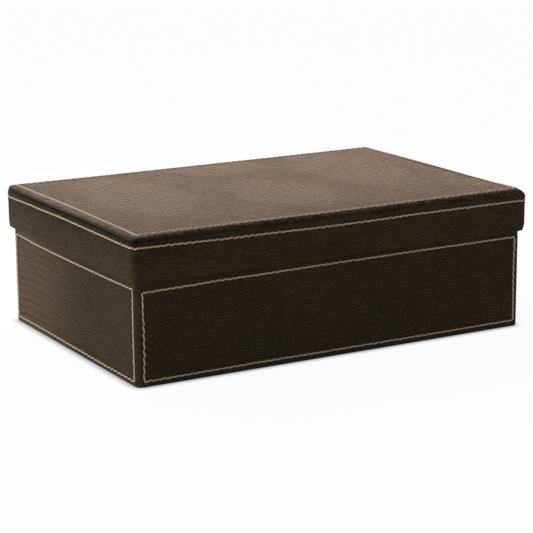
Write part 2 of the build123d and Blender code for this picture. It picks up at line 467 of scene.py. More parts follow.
def makeLeather(name, look):
    material, tree, shader = newMaterial(name)
    grainMap = addNode(tree, "ShaderNodeUVMap", uv_map="grain").outputs["UV"]
    flat = moved(tree, grainMap, (1000, 1000, 1))  # mm
    shift = [look["seed"] * part for part in leather["seedShift"]]
    place = moved(tree, flat, (1, 1, 1), (*shift, 0))
    bent = wavering(tree, place, leather["bends"])
    patches = patchField(tree, flat, look)
    crossing = cellEdges(tree, bent, leather["crossLength"], leather["crossPitch"], 1.0, leather["crossEdge"])
    crossShare = remap(tree, noiseField(tree, place, leather["crossClouds"]), *leather["crossFading"])
    fine = mixValues(tree, crossShare, wavyLines(tree, place, bent), crossing)
    scales = broadScales(tree, wavering(tree, place, look["scaleBends"]), look)
    relief = mixValues(tree, patches, fine, scales)

    mottle = noiseField(tree, moved(tree, place, look["speckleGrain"]), *leather["mottle"])
    pores = calc(tree, "MULTIPLY", noiseField(tree, place, *leather["pores"]), leather["poreDepth"])
    grain = calc(tree, "MULTIPLY_ADD", mottle, look["grainDepth"], pores)
    swell = calc(tree, "MULTIPLY_ADD", patches, look["patchRelief"], 1.0)
    height = calc(tree, "MULTIPLY_ADD", relief, swell, grain)

    # Deeper between the ridges, paler where it is worn, paler in the patches (partly the broad scales' own
    # tone and partly painted sheen), and speckled
    clouds = noiseField(tree, place, *leather["clouds"])
    worn = calc(tree, "MULTIPLY", remap(tree, clouds, *leather["wornClouds"]), look["wear"])
    paleWornAndSheen = calc(tree, "MULTIPLY", calc(tree, "MULTIPLY_ADD", patches, look["patchPaleAndSheen"], worn), relief)
    toned = calc(tree, "MULTIPLY_ADD", calc(tree, "SUBTRACT", relief, 1.0), look["toneDepth"], 1.0)
    tone = mixColours(tree, toned, leather["deep"], leather["plain"])
    tone = mixColours(tree, paleWornAndSheen, tone, leather["high"])
    strengths = [look["strength"] * part for part in look["speckle"]]
    tone = scaled(tree, tone, remap(tree, mottle, *leather["speckleEdge"], *strengths))

    # Painted shade: darker in the folds along a seam, where the roll and the gathers shade the leather, in
    # streaks that run into it
    paintedFoldShade = attribute(tree, "paintedFoldShade")
    streaks = remap(tree, noiseField(tree, moved(tree, place, leather["streaks"])), *leather["streakEdge"])
    creaseShadeShare = calc(tree, "MULTIPLY", paintedFoldShade, mixValues(tree, paintedFoldShade, streaks, 1.0))
    tone = mixColours(tree, creaseShadeShare, tone, leather["creaseAndPaintedShade"])

    least = look["roughness"] - leather["cloudGloss"] / 2
    dull = calc(tree, "MULTIPLY_ADD", clouds, leather["cloudGloss"], least)
    dull = calc(tree, "MULTIPLY_ADD", patches, -look["patchGloss"], dull)
    dull = calc(tree, "MULTIPLY_ADD", relief, -leather["ridgeGloss"], dull)
    tree.links.new(dull, shader.inputs["Roughness"])
    coat(tree, shader, tone, height, leather["depth"], look["bump"], {
        "IOR": look["refraction"],
        "Specular Tint": leather["specularTint"],
        "Sheen Weight": look["sheen"],
        "Sheen Roughness": leather["sheenRoughness"],
        "Sheen Tint": look["sheenTint"],
    })
    return material


lidTopLook = {
    "patches": [  # the middle of each, half its width and half its height
        (-106.0, 15.0, 44.0, 88.0),
        (-2.0, -30.0, 42.0, 66.0),
        (0.0, 104.0, 46.0, 58.0),
        (95.0, 35.0, 44.0, 92.0),
    ],
    "patchSoftness": 0.32,
    # Paler in the patches: partly the broad scales' own tone, partly painted sheen
    "patchPaleAndSheen": 0.4,
    "patchGloss": 0.08,
    "patchRelief": 0.6,
    "scaleSize": (5.6, 7.4),
    "scaleJitter": 0.5,
    "scaleBends": ((0.014, (8, 9, 0)), (0.07, (3, 2.6, 0))),
    "rowFading": (0.35, 0.6, 0.5, 0.9),
    "cellFading": (0.65, 0.4, 0.2, 0.5),
    "toneDepth": 0.8,
    "speckleGrain": (0.5, 0.2, 1),  # blotches to a mm
    "speckle": (0.5, 1.5),
    "grainDepth": 2.0,
    "wear": 0.35,
    "strength": 1.25,
    "roughness": 0.74,
    "refraction": 1.03,
    "sheen": 0.8,
    "sheenTint": (1.0, 0.715, 0.54, 1),
    "bump": 1.25,
    "seed": 0,
}
bodyLook = {
    "patches": [(186.0, 38.0, 118.0, 130.0)],
    "patchSoftness": 1.2,
    # Paler in the patches: partly the broad scales' own tone, partly painted sheen
    "patchPaleAndSheen": 0.58,
    "patchGloss": 0.12,
    "patchRelief": 0.3,
    "scaleSize": (10.0, 6.0),
    "scaleJitter": 0.6,
    "scaleBends": ((0.014, (14, 11, 0)), (0.07, (4, 3, 0))),
    "rowFading": (0.35, 0.6, 0.2, 0.75),
    "cellFading": (0.65, 0.4, 0.0, 0.3),
    "toneDepth": 0.58,
    "speckleGrain": (0.4, 0.4, 1),
    "speckle": (0.78, 1.2),
    "grainDepth": 0.2,
    "wear": 0.1,
    "strength": 1.5,
    "roughness": 0.7,
    "refraction": 1.1,
    "sheen": 0.1,
    "sheenTint": (1.0, 0.70, 0.43, 1),
    "bump": 1.1,
    "seed": 3,
}
lidWallLook = {**bodyLook, "patchPaleAndSheen": 0.05, "strength": 1.56, "bump": 1.3, "seed": 5}
lidTopLeather = makeLeather("lidTopLeather", lidTopLook)
bodyLeather = makeLeather("bodyLeather", bodyLook)
lidWallLeather = makeLeather("lidWallLeather", lidWallLook)
print("leather materials made")


# Board, lining and paper: two tones in a noise (to a mm, detail, roughness), and a third where it is worn
finishes = {
    "greyBoard": {
        "tones": ((0.24, 0.22, 0.19, 1), (0.46, 0.43, 0.38, 1)),
        "grain": ((1, 1, 1), 0.9, 6.0, 0.7),
        "depth": 0.08 * mm,
        "strength": 1.0,
        "values": {"Roughness": 0.85},
    },
    "flockedLining": {
        "tones": ((0.030, 0.021, 0.015, 1), (0.085, 0.062, 0.046, 1), (0.10, 0.075, 0.057, 1)),
        "grain": ((1, 1, 1), 3.2, 3.0, 0.65),
        "wear": ((0.02, 0.05, 0.03), 1.0, 3.0, 0.5),
        "wornShare": (0.35, 0.65, 0.0, 0.5),
        "depth": 0.25 * mm,
        "strength": 0.7,
        "values": {
            "Roughness": 0.9,
            "Sheen Weight": 0.5,
            "Sheen Roughness": 0.35,
            "Sheen Tint": (0.9, 0.75, 0.62, 1),
        },
    },
    "baseSheetPaper": {
        "tones": ((0.030, 0.023, 0.017, 1), (0.062, 0.048, 0.036, 1), (0.11, 0.088, 0.068, 1)),
        "grain": ((1.0, 0.35, 1.0), 1.1, 5.0, 0.7),
        "wear": ((1, 1, 1), 0.04, 4.0, 0.6),
        "wornShare": (0.5, 0.75, 0.0, 0.45),
        "depth": 0.1 * mm,
        "strength": 1.0,
        "values": {"Roughness": 0.78},
    },
}


def makeFinish(name):
    look = finishes[name]
    material, tree, shader = newMaterial(name)
    place = placeOn(tree)
    stretch, *grain = look["grain"]
    fine = noiseField(tree, moved(tree, place, stretch), *grain)
    tone = mixColours(tree, fine, *look["tones"][:2])
    if "wear" in look:
        stretch, *wear = look["wear"]
        worn = remap(tree, noiseField(tree, moved(tree, place, stretch), *wear), *look["wornShare"])
        tone = mixColours(tree, worn, tone, look["tones"][2])
    coat(tree, shader, tone, fine, look["depth"], look["strength"], look["values"])
    return material


greyBoard = makeFinish("greyBoard")
flockedLining = makeFinish("flockedLining")
baseSheetPaper = makeFinish("baseSheetPaper")

# Waxed thread: plied, with painted shade in the grooves between the plies, paler where it stands up, and
# soiled at random with the same darker tone
thread = {
    "pale": (0.74, 0.595, 0.45, 1),
    "plyShadeAndSoil": (0.47, 0.37, 0.275, 1),
    "twists": 2.6,  # turns of the ply along a stitch
    "strands": 2,
    "fibres": 2600,  # to a metre
    "fibreDepth": 0.25,
    "soiling": (0.2, 1.2, 0.0, 0.3),
    "plyEdge": 0.7,  # from where on the ply is pale
    "fibreSoil": 0.6,
    "plyDepth": 0.12 * mm,
    "bump": 0.8,
    "values": {"Roughness": 0.85, "IOR": 1.25},
}


def makeThread():
    material, tree, shader = newMaterial("waxedThread")
    winding = calc(tree, "MULTIPLY", attribute(tree, "around"), 2 * pi * thread["strands"])
    turns = calc(tree, "MULTIPLY_ADD", attribute(tree, "along"), 2 * pi * thread["twists"], winding)
    ply = calc(tree, "MULTIPLY_ADD", calc(tree, "SINE", turns), 0.5, 0.5)
    fibre = noiseField(tree, placeOn(tree, thread["fibres"]))
    # Painted shade in the grooves between the plies
    tone = mixColours(tree, remap(tree, ply, 0.0, thread["plyEdge"]), thread["plyShadeAndSoil"], thread["pale"])
    soil = calc(tree, "MULTIPLY_ADD", fibre, thread["fibreSoil"], attribute(tree, "dye"))
    tone = mixColours(tree, remap(tree, soil, *thread["soiling"]), tone, thread["plyShadeAndSoil"])
    lumps = calc(tree, "MULTIPLY_ADD", fibre, thread["fibreDepth"], ply)
    coat(tree, shader, tone, lumps, thread["plyDepth"], thread["bump"], thread["values"])
    return material


waxedThread = makeThread()
print("other materials made")


# How the rows of stitching wander from their straight lines, in mm, from one end of each side to the other
rowWander = {
    "lidWall": {  # up
        "back": (-0.1, 0.2, 0.0, -0.2, -0.1),
        "left": (-0.1, 0.6, 1.3, 1.05, 0.9),
        "front": (0.9, -0.2, -0.9, -0.15, -0.2),
        "right": (-0.2, 0.2, 0.5, 0.1, -0.1),
    },
    "lidTop": {  # in
        "back": (0.2, -0.3, 0.3, 0.5, -0.2),
        "left": (-0.9, 0.4, 0.8, 0.1, -0.5),
        "front": (-0.9, -1.3, -1.5, -1.6, -0.8),
        "right": (-1.4, -1.2, -1.3, -1.4, -0.6),
    },
    "panelTop": {  # up
        "back": (-0.2, 0.3, 0.1, -0.3, 0.2),
        "left": (0.8, -0.5, -0.55, -0.2, 0.45),
        "front": (-1.3, 0.0, 0.75, 1.2, 1.4),
        "right": (0.3, -0.2, -0.4, 0.1, 0.2),
    },
    "panelLow": {  # up
        "back": (0.1, 0.3, -0.1, 0.2, 0.0),
        "left": (-0.35, -0.15, -0.6, -0.9, -0.6),
        "front": (-0.1, 0.25, 0.25, 0.2, 0.35),
        "right": (0.2, -0.1, 0.1, 0.3, 0.1),
    },
    "sag": {  # down: how far the padded top falls to this edge
        "back": (0.1, 0.3, 0.3, 0.3, 0.1),
        "left": (0.1, 0.45, 0.25, 0.25, 0.2),
        "front": (0.45, 0.45, 0.75, 0.5, 0.3),
        "right": (0.3, 0.6, 0.6, 0.5, 0.2),
    },
    "seam": {  # up: where the roll meets the wall
        "back": (0.1, 0.0, 0.2, 0.2, 1.6),
        "left": (1.6, 1.9, 1.9, 1.9, 0.9),
        "front": (0.9, -0.3, -0.4, -0.3, -0.7),
        "right": (-0.7, -0.2, 0.1, 0.0, 0.1),
    },
    "belly": {  # up, from the seam to where the roll is widest
        "back": (1.0, 1.2, 1.3, 1.2, 0.7),
        "left": (0.7, 0.9, 1.1, 1.1, 1.0),
        "front": (1.0, 0.7, 0.6, 0.6, 0.3),
        "right": (0.3, 1.4, 1.5, 1.4, 1.0),
    },
    "overhang": {  # out: how far the roll stands over the seam
        "back": (0.3, 0.5, 0.5, 0.5, 0.2),
        "left": (0.2, 1.1, 1.25, 1.15, 0.6),
        "front": (0.6, 0.45, 0.35, 0.4, 0.9),
        "right": (0.9, 0.8, 0.8, 0.7, 0.3),
    },
    "sunk": {  # down: how deep the top row is pulled into the leather
        "back": (0.1, 0.2, 0.2, 0.2, 0.1),
        "left": (0.1, 0.0, 0.0, 0.0, 0.0),
        "front": (0.0, 0.0, 0.0, 0.0, 0.2),
        "right": (0.2, 0.8, 0.9, 0.8, 0.1),
    },
    "roundness": {  # 2 is an ellipse and 1 is a straight slope
        "back": (2.0, 2.0, 2.0, 2.0, 2.0),
        "left": (2.0, 2.1, 2.1, 2.1, 2.1),
        "front": (2.1, 1.9, 1.85, 1.8, 1.4),
        "right": (1.4, 1.5, 1.7, 2.0, 2.0),
    },
    "lean": {  # in: how far the wall leans in over its row, up to the seam
        "back": (0.6, 0.7, 0.7, 0.6, 0.6),
        "left": (0.6, 0.9, 0.9, 0.9, 0.7),
        "front": (0.7, 0.3, 0.25, 0.2, 0.0),
        "right": (0.0, 0.6, 0.7, 0.6, 0.6),
    },
    "paintedCreaseShade": {  # how dark the painted shade is in the folds above the row and under the roll
        "back": (0.6, 0.7, 0.7, 0.7, 0.8),
        "left": (0.8, 1.0, 1.0, 1.0, 0.9),
        "front": (0.7, 0.1, 0.05, 0.05, 0.1),
        "right": (0.1, 0.6, 0.6, 0.6, 0.6),
    },
    "cornerPull": {  # in: how far the lower corners of the lid are folded in
        "back": (0.7, 0.0, 0.0, 0.0, 0.5),
        "left": (0.5, 0.0, 0.0, 0.0, 0.8),
        "front": (0.8, 0.0, 0.0, 0.0, 1.4),
        "right": (1.4, 0.0, 0.0, 0.0, 0.7),
    },
}
stitchPitch = 5.6 * mm

# Grooves that the rows are sewn in, and laps where a wrap meets itself
groove = {
    "depth": 0.3 * mm,
    "width": 0.55 * mm,
    "puff": 0.12 * mm,
    "puffPlace": 2.6 * mm,  # from the row
    "puffWidth": 1.3 * mm,
    "pucker": 0.16 * mm,
    "puckerPlace": 1.3 * mm,
    "puckerWidth": 0.8 * mm,
}
lap = {"width": 14 * mm, "step": 0.28 * mm, "edge": 0.4 * mm, "bodyPlace": 0.9, "lidPlace": 0.88}


def wander(row, side, share):
    return drift(rowWander[row][side], np.asarray(share, float)) * mm


def rowDrift(outline, row):
    return aroundBox(outline, rowWander[row]) * mm


def grooveShape(gap):
    # How far in the leather is pulled at this distance from a row, and how far out it puffs beside it
    puffed = groove["puff"] * hump(gap, groove["puffPlace"], groove["puffWidth"])
    return groove["depth"] * hump(gap, 0, groove["width"]) - puffed


def lapRise(outline, place):
    # The end of a wrap laps over its start at the back, near the right corner
    back = (outline["side"] == 0) & (outline["share"] < 0)
    gone = np.where(back, (outline["share"] + place) * outline["along"], -1)
    return lap["step"] * plateau((0, lap["edge"]), (lap["edge"], lap["width"]), gone)


# Body wrap
bodyShape = {
    "columnStep": 1.7 * mm,
    "rowStep": 2.6 * mm,
    "fineRow": 1 * mm,  # over the upper row of stitches
    "baseEdge": 0.7 * mm,
    "rimEdge": 1.0 * mm,
    "mouthEdge": 0.5 * mm,
    "underTurn": 15 * mm,
    "underRows": (8 * mm, 4 * mm, 2.4 * mm),
    "rimTurn": 14 * mm,
    "mouthRows": (3 * mm, 8 * mm),
    "turnEnd": (0.15 * mm, 0.3 * mm),  # how the cut edge of the turned-in leather slopes
    "columnInset": 5.5 * mm,
    "waves": (55 * mm, 18 * mm),
    "waviness": 0.1 * mm,
    "stillLow": (0.6 * mm, 3 * mm),
    "stillHigh": (0.2 * mm, 2.5 * mm),
}
panelTopZ = panelRowHigh.z - layers["threadWidth"] / 2
panelLowZ = panelRowLow.z + layers["threadWidth"] / 2
bodyOutline = boxOutline(bodyLow, bodyHigh, layers["bodyCorner"], bodyShape["columnStep"],
                         [bodyShape["columnInset"]], cornerSteps=10)


def panelReach(side):
    return outAndAlong(side, bodyHigh.x, bodyHigh.y)[1] - bodyShape["columnInset"]


def panelGap(outline, heights):
    # Distance over the surface to the nearest stitched rectangle
    gaps = np.full(heights.shape, 1.0)
    whole = outline["perimeter"]
    for number, side in enumerate(sideOrder):
        here = (outline["side"] == number) & (outline["turn"] == 0)
        middle = np.interp(0, outline["share"][here], outline["distance"][here]) if number else 0
        place = (outline["distance"] - middle + whole / 2) % whole - whole / 2
        share = place / panelReach(side)
        overEnd = np.abs(place) - panelReach(side)
        overTop = heights - (panelTopZ + wander("panelTop", side, share))
        overLow = (panelLowZ + wander("panelLow", side, share)) - heights
        overRows = np.maximum(overTop, overLow)
        most = np.maximum(overRows, overEnd)
        outside = np.hypot(np.maximum(overEnd, 0), np.maximum(overRows, 0))
        gaps = np.minimum(gaps, np.where(most < 0, -most, outside))
    return gaps


def makeBodyWrap():
    skin = layers["leather"]
    inner = layers["bodyMouth"]
    under = bodyShape["underTurn"]
    edge = bodyShape["baseEdge"]
    rimEdge = bodyShape["rimEdge"]
    mouth = bodyShape["mouthEdge"]
    lowZ = bodyLow.z
    rimZ = bodyHigh.z
    turnZ = rimZ - bodyShape["rimTurn"]
    slope, drop = bodyShape["turnEnd"]
    profile = [(inset, lowZ) for inset in (under, *bodyShape["underRows"])]
    profile += arc(edge, lowZ + edge, edge, -90, 0, 5)
    wallStart = len(profile)
    spots = [panelLowZ, panelTopZ, panelTopZ + bodyShape["fineRow"]]
    wallLevels = stops(lowZ + edge, rimZ - rimEdge, bodyShape["rowStep"], spots)
    profile += [(0, height) for height in wallLevels[1:-1]]
    profile += arc(rimEdge, rimZ - rimEdge, rimEdge, 0, 90, 5)
    skinEnd = len(profile)
    profile += arc(inner - mouth, rimZ - mouth, mouth, 90, 180, 4)
    profile += [(inner, rimZ - down) for down in bodyShape["mouthRows"]]
    profile += [(inner, turnZ + drop), (inner - slope, turnZ), (inner - skin, turnZ)]
    profile += [(inner - skin, rimZ - skin), (skin, rimZ - skin), (skin, lowZ + skin), (under, lowZ + skin)]
    insets, heights = sweepProfile(bodyOutline, profile)

    outer = slice(wallStart - 3, skinEnd)
    tall = heights[outer]
    waves = twoWaves(ringPoints(bodyOutline, insets[outer], tall), bodyShape["waves"], 0.5, 1)
    weight = smoothStep(*bodyShape["stillLow"], tall - lowZ)
    weight = weight * smoothStep(*bodyShape["stillHigh"], rimZ - tall)
    moves = grooveShape(panelGap(bodyOutline, tall)) - bodyShape["waviness"] * waves
    insets[outer] += weight * (moves - lapRise(bodyOutline, lap["bodyPlace"]))
    return wallBand("bodyWrap", bodyOutline, profile, insets, heights, wallStart, bodyLeather)


bodyWrap = makeBodyWrap()
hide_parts("body_wrap")
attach(bodyWrap, "body")
print("body wrap made")


# Lid walls: the wrap, and the boards inside it
lidShape = {
    "columnStep": 0.95 * mm,
    "rowStep": 2.4 * mm,
    "fineRows": (-0.4 * mm, 1 * mm),  # up from the row of stitches
    "hiddenStep": 2.5 * mm,
    "edge": 1.2 * mm,
    "topEdge": 0.5 * mm,
    "ledgeEdge": 0.15 * mm,
    "turn": 10 * mm,
    "insideRow": 5 * mm,
    "innerEdge": 0.4 * mm,
    "waves": (45 * mm, 15 * mm),
    "waviness": 0.08 * mm,
    "still": (0.4 * mm, 2.6 * mm),  # up from the lower edge
    "rowEdge": 0.7 * mm,  # up from the row, where the lean starts
    "riseStart": 0.5 * mm,  # up from the row
    "riseEnd": 0.4 * mm,  # down from the upper edge
    "band": (0.8 * mm, 2.2 * mm),  # up from the row, where the gathered band starts
    "bandEnd": 1.2 * mm,
    "bandPuff": 0.15 * mm,
    "gather": 0.22 * mm,
    "gathers": ((2.9 * mm, 8, 0.25), (5.5 * mm, 9, 0.3)),  # size, seed and upright stretch
    "gatherReach": 12 * mm,  # how far the painted shade of the gathers runs down from the row
    "gatherShade": 0.55,
    "bendPower": 1.5,
    "cornerPullHeight": 6.5 * mm,
    "cornerReach": 6 * mm,
    "boardGap": 0.03 * mm,
}
wallRowZ = (wallRowLow.z + wallRowHigh.z) / 2
lidOutline = boxOutline(lidLow, lidHigh, layers["lidCorner"], lidShape["columnStep"])
rowHeights = wallRowZ + rowDrift(lidOutline, "lidWall")
ledgeHeights = coverLow.z + rowDrift(lidOutline, "seam")
wallStitches = round(lidOutline["perimeter"] / stitchPitch)


def overRow(heights):
    # 0 from the row of stitches down, 1 at the seam under the roll
    low = rowHeights + lidShape["rowEdge"]
    return np.clip((heights - low) / (ledgeHeights - low), 0, 1)


def lidWallSway(insets, heights):
    # What the whole wall does: slow waves, a lean towards the seam, and lower corners that are folded in
    waves = twoWaves(ringPoints(lidOutline, insets * 0, heights), lidShape["waves"], 0.6, 5)
    up = heights - lidLow.z
    low = np.clip(1 - up / lidShape["cornerPullHeight"], 0, 1)
    pull = rowDrift(lidOutline, "cornerPull") * cornerNearness(lidOutline, lidShape["cornerReach"])
    bent = pull * low ** lidShape["bendPower"]
    bent = bent + rowDrift(lidOutline, "lean") * overRow(heights) ** lidShape["bendPower"]
    return bent - lidShape["waviness"] * waves * smoothStep(*lidShape["still"], up)


def lidWallRise(heights):
    # The upper edge follows the seam under the roll
    share = smoothStep(wallRowZ + lidShape["riseStart"], coverLow.z - lidShape["riseEnd"], heights)
    return share * (ledgeHeights - coverLow.z)


def makeLidWallWrap():
    skin = layers["leather"]
    inside = layers["lidWall"]
    boardInside = layers["lidBoardInside"]
    edge = lidShape["edge"]
    innerEdge = lidShape["innerEdge"]
    topEdge = lidShape["topEdge"]
    lowZ = lidLow.z
    ledgeZ = coverLow.z
    turnZ = lowZ + lidShape["turn"]
    profile = [(inside, turnZ), (inside, lowZ + lidShape["insideRow"])]
    profile += arc(inside - innerEdge, lowZ + innerEdge, innerEdge, 180, 270, 3)
    skinStart = len(profile)
    profile += arc(edge, lowZ + edge, edge, 270, 360, 5)
    wallStart = len(profile)
    spots = [wallRowZ + gap for gap in lidShape["fineRows"]]
    wallLevels = stops(lowZ + edge, ledgeZ - topEdge, lidShape["rowStep"], spots)
    profile += [(0, height) for height in wallLevels[1:-1]]
    profile += arc(topEdge, ledgeZ - topEdge, topEdge, 0, 90, 5)
    skinEnd = len(profile)
    profile += [(boardInside - lidShape["ledgeEdge"], ledgeZ), (boardInside, ledgeZ)]
    profile += [(boardInside, ledgeZ - skin)]
    hiddenStart = len(profile)
    profile += [(skin, height) for height in stops(lowZ + skin, ledgeZ - skin, lidShape["hiddenStep"])[::-1]]
    hidden = slice(hiddenStart, len(profile))
    profile += [(boardInside, lowZ + skin), (boardInside, turnZ)]
    insets, heights = sweepProfile(lidOutline, profile)
    heights += lidWallRise(heights)

    outer = slice(skinStart, skinEnd)
    tall = heights[outer]
    fromRow = tall - rowHeights
    phase = 2 * pi * wallStitches * lidOutline["distance"] / lidOutline["perimeter"]
    above = hump(fromRow, groove["puckerPlace"], groove["puckerWidth"])
    moves = grooveShape(np.abs(fromRow)) + groove["pucker"] * above * (0.5 + 0.5 * np.cos(phase))
    band = smoothStep(*lidShape["band"], fromRow)
    band = band * (1 - smoothStep(-lidShape["bandEnd"], 0, tall - ledgeHeights))
    points = ringPoints(lidOutline, insets[outer], tall)
    fine, broad = lidShape["gathers"]
    gathers = softNoise(points, *fine) + 0.5 * softNoise(points, *broad)
    moves = moves - band * (lidShape["bandPuff"] + lidShape["gather"] * gathers)
    moves = moves - lapRise(lidOutline, lap["lidPlace"])
    steady = smoothStep(*lidShape["still"], tall - lowZ)
    insets[outer] += steady * moves + lidWallSway(insets[outer], tall)
    insets[hidden] += lidWallSway(insets[hidden], heights[hidden])

    # Painted shade: darker from the row up to the seam, where the roll shades the wall, and in the gathers
    # just under the row, more on some sides than others
    foldsAndPaintedShade = np.zeros(insets.shape)
    shadeUnderRow = lidShape["gatherShade"] * hump(np.minimum(fromRow, 0), 0, lidShape["gatherReach"])
    shadeAboveRow = np.maximum(smoothStep(0.0, 0.8, overRow(tall)), shadeUnderRow)
    foldsAndPaintedShade[outer] = aroundBox(lidOutline, rowWander["paintedCreaseShade"]) * shadeAboveRow
    return wallBand("lidWallWrap", lidOutline, profile, insets, heights, wallStart, lidWallLeather, foldsAndPaintedShade)


def makeLidBoards():
    # The four wall boards fill the wrap and meet in mitres
    outside = layers["leather"] + lidShape["boardGap"]
    inside = layers["lidBoardInside"] - lidShape["boardGap"]
    levels = stops(lidLow.z + outside, coverLow.z - outside, lidShape["hiddenStep"])
    profile = [(outside, height) for height in levels] + [(inside, height) for height in levels[::-1]]
    insets, heights = sweepProfile(lidOutline, profile)
    heights += lidWallRise(heights)
    outer = slice(0, len(levels))
    insets[outer] += lidWallSway(insets[outer], heights[outer])
    points = ringPoints(lidOutline, insets, heights)
    boards = {}
    for number, side in enumerate(sideOrder):
        chosen = columnsOfSide(lidOutline, number)
        wide = len(chosen)
        starts = [row * wide for row in range(len(profile))]
        ends = [start + wide - 1 for start in reversed(starts)]
        faces = gridFaces(len(profile), wide, closedRows=True) + [tuple(starts), tuple(ends)]
        vertices = points[:, chosen].reshape(-1, 3)
        name = "lid" + side.capitalize() + "Board"
        boards[side] = newPiece(name, vertices, faces, vertices[:, :2], greyBoard)
    return boards


lidWallWrap = makeLidWallWrap()
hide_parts("lid_wall_wrap")
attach(lidWallWrap, "lid")
for side, board in makeLidBoards().items():
    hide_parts("lid_" + side + "_board")
    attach(board, "lid")
print("lid wall wrap made")


# Lid top: the cover, whose sewn edge is rolled over its own folded seam, and the foam pad under it
coverShape = {
    "columnStep": 2.0 * mm,
    "ringStep": 1.6 * mm,
    "fineRows": (-1 * mm, 0.5 * mm),  # in from the row of stitches
    "corner": 3.2 * mm,
    "rollWidth": 5.6 * mm,
    "underSteps": 6,
    "upperSteps": 18,
    "creaseDepth": 0.2 * mm,  # from the top of the wall in to the seam of the roll
    "panelInset": 16 * mm,  # from the face of the roll to where the plain panel starts
    "shoulder": (4.2 * mm, 2.3 * mm),  # how wide and how tall the upper edge of the pad is trimmed off
    "shoulderGap": 0.2 * mm,
    "gather": 0.13 * mm,
    "gatherWidth": 1.6 * mm,
    "gatherLift": 0.35 * mm,
    "smallFolds": (5 * mm, 22, 1.6),  # size, seed and upright stretch
    "largeFolds": (9 * mm, 21, 2.2),
    "slowFolds": (40 * mm, 23),
    "lifts": (7 * mm, 24, 0.2),
    "shadeEdge": (-0.6 * mm, 1.0 * mm),
    "shadeSpread": 0.4 * mm,
    "rowStart": (3 * mm, 5 * mm),  # where the groove of the row may start and end, in from the face
    "rowEnd": (10 * mm, 14 * mm),
    "crown": 0.35 * mm,
    "crownReach": 60 * mm,
    "sewnReach": 8 * mm,
    "sagReach": 34 * mm,
    "undulation": 0.22 * mm,
    "waves": (62 * mm, 24 * mm),
}
coverOutline = boxOutline(coverLow, coverHigh, coverShape["corner"], coverShape["columnStep"], cornerSteps=9)
topRowInset = coverHigh.x - (topRowHigh.x - layers["threadWidth"] / 2)


def edgeDistance(points, high):
    return np.minimum(high.x - np.abs(points[..., 0]), high.y - np.abs(points[..., 1]))


def edgeSag(points):
    # The padded top is drawn down a little towards its edges
    deepest = np.zeros(points.shape[:-1])
    for number, side in enumerate(sideOrder):
        out, along = outAndAlong(side, coverHigh.x, coverHigh.y)
        toEdge = out - points[..., :2] @ normalAt(number)
        share = points[..., :2] @ normalAt(number + 1) / along
        part = wander("sag", side, share) * (1 - smoothStep(0, coverShape["sagReach"], toEdge))
        deepest = np.hypot(deepest, part)
    return deepest


def panelHeight(points):
    # A low crown with soft undulations, flat where it is sewn down
    edge = edgeDistance(points, coverHigh)
    middle = smoothStep(topRowInset, coverShape["crownReach"], edge)
    spots = np.stack([points[..., 0], points[..., 1], np.zeros(points.shape[:-1])], axis=-1)
    waves = twoWaves(spots, coverShape["waves"], 0.4, 11)
    soft = coverShape["undulation"] * waves * (0.25 + 0.75 * middle)
    soft = soft * smoothStep(0, coverShape["sewnReach"], edge)
    return coverShape["crown"] * middle + soft - edgeSag(points)


weldReach = 0.07 * mm  # closer points are one


def slabPiece(name, outline, profile, insets, heights, grainInset, material, shapeTop, foldsAndPaintedShade=None):
    # A closed slab: a ring from the outline and its section, and a panel that fills each end of the section
    ring = ringPoints(outline, insets, heights)
    # The grain lies flat over the top and carries on down the side
    lengths = profileLengths(profile)
    farOff = [abs(inset - grainInset) + (height <= profile[0][1] - mm) for inset, height in profile]
    start = int(np.argmin(farOff))
    past = (lengths[start] - lengths)[:, None, None]
    downward = outlinePoints(outline, grainInset) + outlineFacing(outline) * past
    grain = np.where((insets > grainInset)[..., None], ring[..., :2], downward)
    vertices = [ring.reshape(-1, 3)]
    grains = [grain.reshape(-1, 2)]
    faces = gridFaces(*insets.shape, closedColumns=True)
    total = insets.size
    for (inset, height), upward in ((profile[-1], True), (profile[0], False)):
        spans = []
        for side in (2, 3):
            flat = (outline["side"] == side) & (outline["turn"] == 0)
            spans.append(outline["share"][flat] * (outline["along"][flat] - inset))
        x, y = np.meshgrid(*spans)
        panel = np.stack([x, y, np.full(x.shape, height)], axis=-1)
        if upward:
            panel[..., 2] += shapeTop(panel)
        vertices.append(panel.reshape(-1, 3))
        grains.append(panel[..., :2].reshape(-1, 2))
        quads = gridFaces(*x.shape, start=total)
        faces += quads if upward else [quad[::-1] for quad in quads]
        total += x.size
    vertices = np.concatenate(vertices)
    if foldsAndPaintedShade is not None:
        foldsAndPaintedShade = np.concatenate([foldsAndPaintedShade.ravel(), np.zeros(len(vertices) - foldsAndPaintedShade.size)])
    piece = newPiece(name, vertices, faces, np.concatenate(grains), material, foldsAndPaintedShade)
    shell = bmesh.new()
    shell.from_mesh(piece.data)
    bmesh.ops.remove_doubles(shell, verts=shell.verts, dist=weldReach)
    shell.to_mesh(piece.data)
    shell.free()
    piece.data.shade_smooth()
    return piece


